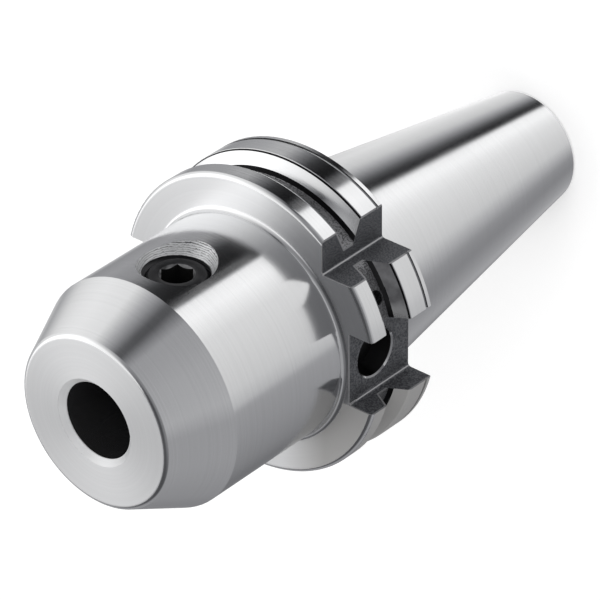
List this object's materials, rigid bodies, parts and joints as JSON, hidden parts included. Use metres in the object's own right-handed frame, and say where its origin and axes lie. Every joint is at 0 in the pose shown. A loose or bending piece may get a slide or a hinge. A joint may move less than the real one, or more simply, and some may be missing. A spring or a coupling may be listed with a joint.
{
  "type": "side lock end mill holder",
  "caption": "Steep taper tool holder with a grooved drive flange and a side screw that locks a plain shank with a flat in its bore.",
  "frame": {"origin": "centre of the taper's small end face, on the holder's axis; the holder stands on that face, nose up", "axes": "+Z along the holder's axis towards the nose; the clamping screw points along -Y; the drive slots are on -X and +X"},
  "size_m": [0.0614, 0.0636, 0.1314],
  "materials": {
    "steel": "hardened steel, turned and ground bright, with darker milled slots and notch",
    "black_oxide_steel": "blackened steel, satin"
  },
  "bodies": {
    "holder": {"holder_body": "steel"},
    "screw": {"clamping_screw": "black_oxide_steel"}
  },
  "joints": [
    {"name": "screw_travel", "type": "slide", "parent": "holder", "child": "screw", "axis": [0, -1, 0], "range_m": [-0.002, 0.004]}
  ]
}
